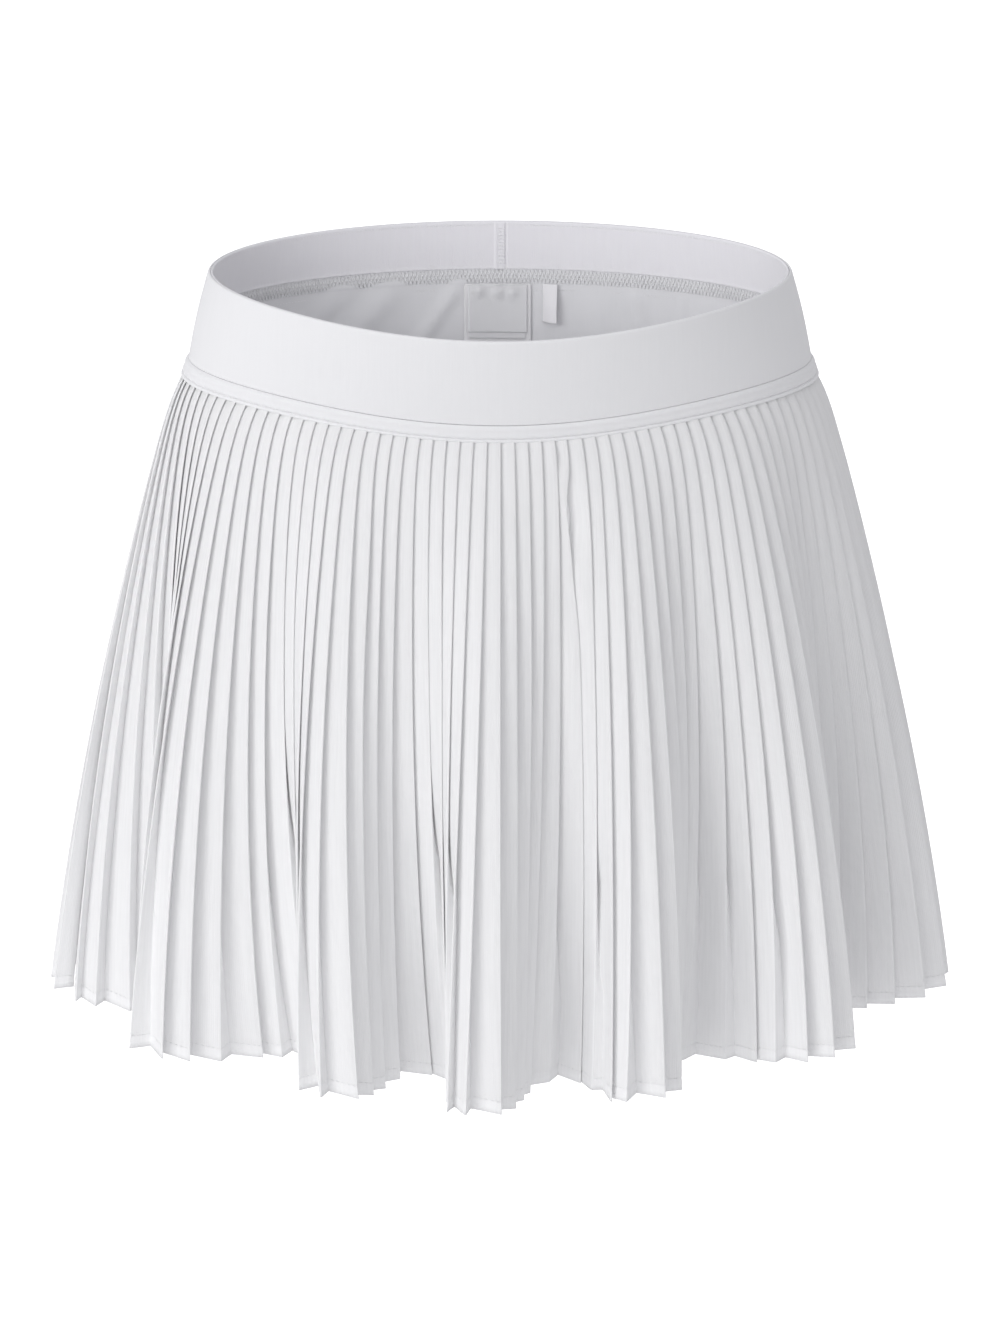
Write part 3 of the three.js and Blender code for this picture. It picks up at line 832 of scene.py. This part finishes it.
def row_round(down, spacing, long):
    """Starts and ends of a row all round the waist: stitches of one length at equal spacing."""
    count = int(waist_line[2] / spacing)
    x = (np.arange(count) + 0.5) * waist_line[2] / count
    drop = np.full(count, float(down))
    return np.stack([x, drop], -1), np.stack([x + long, drop], -1)


def crossing_threads(top, bottom, spacing, lean):
    """Threads that lean to one side and then to the other between two lines."""
    starts, _ = row_round(top, spacing, 0)
    ends = starts + [lean, bottom - top]
    return np.vstack([starts, starts + [lean, 0]]), np.vstack([ends, ends - [lean, 0]])


def level(back):
    """The same distance behind the band's surface at every drop."""
    return lambda down: back + 0 * down


ladder = np.arange(3, FACING_DEPTH - 1.6, 1.55)
rungs = np.vstack([np.stack([x + 0 * ladder, ladder], -1) for x in (-0.7, 1.2)])
waist_row = row_round(1.7, spacing=1.6, long=0.9)
crossing = crossing_threads(FACING_DEPTH + 0.2, COVERED_TO, spacing=1.9, lean=2.4)
cover_row = row_round(COVERED_TO + 0.2, spacing=1.7, long=1.0)
second_row = row_round(COVERED_TO + 3.6, spacing=1.7, long=0.9)
threads = [
    inside_stitches("waist_edge_stitches", *waist_row, level(FACING_BACK - 0.02), 0.4),
    inside_stitches("back_ladder_stitches", rungs, rungs + [1.3, 0.25], level(FACING_BACK + 0.45),
                    0.6),
    inside_stitches("cover_threads", *crossing, on_shorts(ALLOWANCE + 0.16), 0.7),
    inside_stitches("cover_edge_stitches", *cover_row, on_shorts(ALLOWANCE), 0.5),
    inside_stitches("second_edge_stitches", *second_row, on_shorts(0.0), 0.36),
]

# %% Stitches of the skirt's hem
def hem_stitches(name, first, spacing=2.7, long=1.7, thick=0.36):
    """A running stitch along the folds, on the right side, in the pinched line."""
    line = right_side[list(ROWS).index(STITCH_LINE)].reshape(-1, 3)
    order = (np.arange(PLEATS // 2 * STEPS) + first * STEPS) % len(line)
    run = line[order]
    reached = walked(run)
    start = np.arange(spacing, reached[-1] - spacing, spacing)
    here, ahead = (np.stack([np.interp(at, reached, run[:, axis]) for axis in range(3)], -1)
                   for at in (start, start + long))
    way = ahead - here
    return stitch_row(name, (here + ahead) / 2, way, right_of(way), long, thick)


skirt_threads = {name: hem_stitches(name + "_hem_stitches", first) for name, first in FIRST_OF.items()}

# %% [markdown]
# ## Finishes
# All of it is white, and what tells the cloths apart is how they take light, except for a lighter
# copy of the label satin, whose extra lightness is painted light. One function makes each finish
# from a few numbers. The pattern reads the place on the flat cloth, so ribs follow the folds.

# %% Cloth finish
YARN = 18                # millimetres along a yarn from one shade to the next


def set_inputs(node, values):
    """Constants of a node's sockets by the sockets' names."""
    for socket, value in values.items():
        node.inputs[socket].default_value = value


def cloth_finish(name, colour, roughness, sheen, rib, rib_depth, streak):
    """Ribs are a wave across the cloth; yarn streaks are noise stretched along it. rib and
    rib_depth are millimetres, and streak is how much darker the darkest yarn is."""
    material = bpy.data.materials.new(name)
    material.use_nodes = True
    tree = material.node_tree
    shader = tree.nodes["Principled BSDF"]
    set_inputs(shader, {
        "Roughness": roughness, "Sheen Weight": sheen, "Sheen Roughness": 0.5,
        "Specular IOR Level": 0.3, "Subsurface Weight": 0.85, "Subsurface Radius": (1, 1, 1),
        "Subsurface Scale": 0.4 * MM,
    })
    place, stretch, noise, tint, ribs, bump = (
        tree.nodes.new("ShaderNode" + kind)
        for kind in ("UVMap", "Mapping", "TexNoise", "Mix", "TexWave", "Bump"))
    place.uv_map = "cloth"
    tint.data_type = "RGBA"
    ribs.bands_direction = "X"
    set_inputs(stretch, {"Scale": (1 / (rib * MM), 1 / (YARN * MM), 1)})
    set_inputs(noise, {"Scale": 0.6, "Detail": 3})
    set_inputs(tint, {"A": (*(c * (1 - streak) for c in colour), 1), "B": (*colour, 1)})
    set_inputs(ribs, {"Scale": np.pi / 10 / (rib * MM), "Distortion": 0.6, "Detail": 1})
    set_inputs(bump, {"Strength": 0.5, "Distance": rib_depth * MM})
    for start, out, end, into in [
            (place, "UV", stretch, "Vector"), (stretch, "Vector", noise, "Vector"),
            (noise, "Fac", tint, "Factor"), (tint, "Result", shader, "Base Color"),
            (place, "UV", ribs, "Vector"), (ribs, "Fac", bump, "Height"),
            (bump, "Normal", shader, "Normal")]:
        tree.links.new(start.outputs[out], end.inputs[into])
    return material


FINISHES = {
    # name, colour, roughness, sheen, rib, depth of the ribs, streak
    "band_knit": ("smooth_band_knit", (0.84, 0.84, 0.85), 0.85, 0.1, 0.7, 0.05, 0.03),
    "facing_knit": ("facing_knit", (0.89, 0.88, 0.91), 0.85, 0.1, 0.9, 0.08, 0.04),
    "pleated_cloth": ("pleated_plain_weave", (0.96, 0.96, 0.965), 0.8, 0.05, 0.9, 0.1, 0.12),
    "shorts_knit": ("shorts_jersey", (0.83, 0.83, 0.845), 0.7, 0.2, 0.5, 0.04, 0.03),
    "label_satin": ("label_satin_tape", (0.85, 0.85, 0.87), 0.45, 0.0, 0.3, 0.02, 0.02),
    # a lighter copy of the label satin: painted light, so that the back tape's borders and the size tag
    # show brighter
    "label_satin_painted_light": ("label_satin_with_painted_light", (0.91, 0.90, 0.92), 0.5, 0.0, 0.3, 0.02, 0.02),
    "thread": ("white_thread", (0.93, 0.93, 0.95), 0.5, 0.0, 0.5, 0.02, 0.02),
}
finishes = {finish: cloth_finish(*row) for finish, row in FINISHES.items()}
print("finishes", *finishes)

# %% [markdown]
# ## What each piece is
# Every piece is given its finish, rides on the part's one body, and stands for the plain solid
# that stays for collision.

# %% Ride and replace
DRESS = [
    # piece, finish, record's slot, the solid it stands for
    (waistband, "band_knit", "band_knit", "waistband_outer"),
    (facing, "facing_knit", "band_knit", "waistband_facing"),
    (piping, "band_knit", "band_knit", "seam_piping"),
    (skirt["skirt_front"][0], "pleated_cloth", "pleated_cloth", "skirt_front"),
    (skirt["skirt_back"][0], "pleated_cloth", "pleated_cloth", "skirt_back"),
    (shorts[0], "shorts_knit", "shorts_knit", "shorts_left"),
    (shorts[1], "shorts_knit", "shorts_knit", "shorts_right"),
    # the back tape and the size tag take the lighter satin, whose extra lightness is painted light
    (care_label[0], "label_satin_painted_light", "label_satin", "care_label"),
    (care_label[1], "label_satin", "label_satin", None),
    (care_label[2], "label_satin", "label_satin", None),
    (size_tag, "label_satin_painted_light", "label_satin", "size_label"),
]
DRESS += [(row, "thread", "band_knit", None) for row in threads]
DRESS += [(row, "thread", "pleated_cloth", None) for row in skirt_threads.values()]
for piece, finish, slot, solid in DRESS:
    piece.data.materials.append(finishes[finish])
    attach(piece, "root")
    if solid:
        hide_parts(solid)
print(len(DRESS), "pieces ride on the root")


# %% [markdown]
# ## Floor and light
# The light is soft: two square lamps at the front left and weaker light from the air all round,
# so the right side falls gently into shade. A broad pale floor lies far below. It shines white,
# but only for the camera, so it makes a plain ground and adds no light of its own.

# %% Floor and light
LIT_POINT = np.array([0, 0, -0.2])
FLOOR_DROP = 0.95
FLOOR_HALF = 30.0        # half of the floor's side, in metres


def lamp(name, place, size, power):
    """A square soft light, tilted and turned so that it faces the lit point."""
    data = bpy.data.lights.new(name, "AREA")
    data.size = size
    data.energy = power
    light = bpy.data.objects.new(name, data)
    light.location = place
    way = LIT_POINT - np.array(place)
    tilt, turn = np.arctan2(np.hypot(way[0], way[1]), -way[2]), np.arctan2(way[1], way[0])
    light.rotation_euler = (tilt, 0, turn - np.pi / 2)
    bpy.context.scene.collection.objects.link(light)


corners = np.array([(-1, -1, 0), (1, -1, 0), (1, 1, 0), (-1, 1, 0)]) * FLOOR_HALF / MM
corners[:, 2] = -FLOOR_DROP / MM
floor = put_mesh("studio_floor", corners, np.array([[0, 1, 2, 3]]), np.zeros((1, 4, 2)))
floor_finish = bpy.data.materials.new("pale_floor")
floor_finish.use_nodes = True
floor_tree = floor_finish.node_tree
floor_shader = floor_tree.nodes["Principled BSDF"]
set_inputs(floor_shader, {"Base Color": (0.9, 0.9, 0.9, 1), "Roughness": 0.9,
                          "Emission Color": (1, 1, 1, 1)})
seen = floor_tree.nodes.new("ShaderNodeLightPath")
floor_tree.links.new(seen.outputs["Is Camera Ray"], floor_shader.inputs["Emission Strength"])
floor.data.materials.append(floor_finish)

lamp("key", (-2.2, -2.2, 0.9), 1.6, 33)
lamp("front", (-1.0, -3.1, 0.5), 1.6, 10)

world = bpy.data.worlds.new("studio_air")
bpy.context.scene.world = world
world.use_nodes = True
set_inputs(world.node_tree.nodes["Background"], {"Color": (0.97, 0.97, 1.0, 1), "Strength": 0.63})
bpy.context.scene.view_settings.view_transform = "Standard"
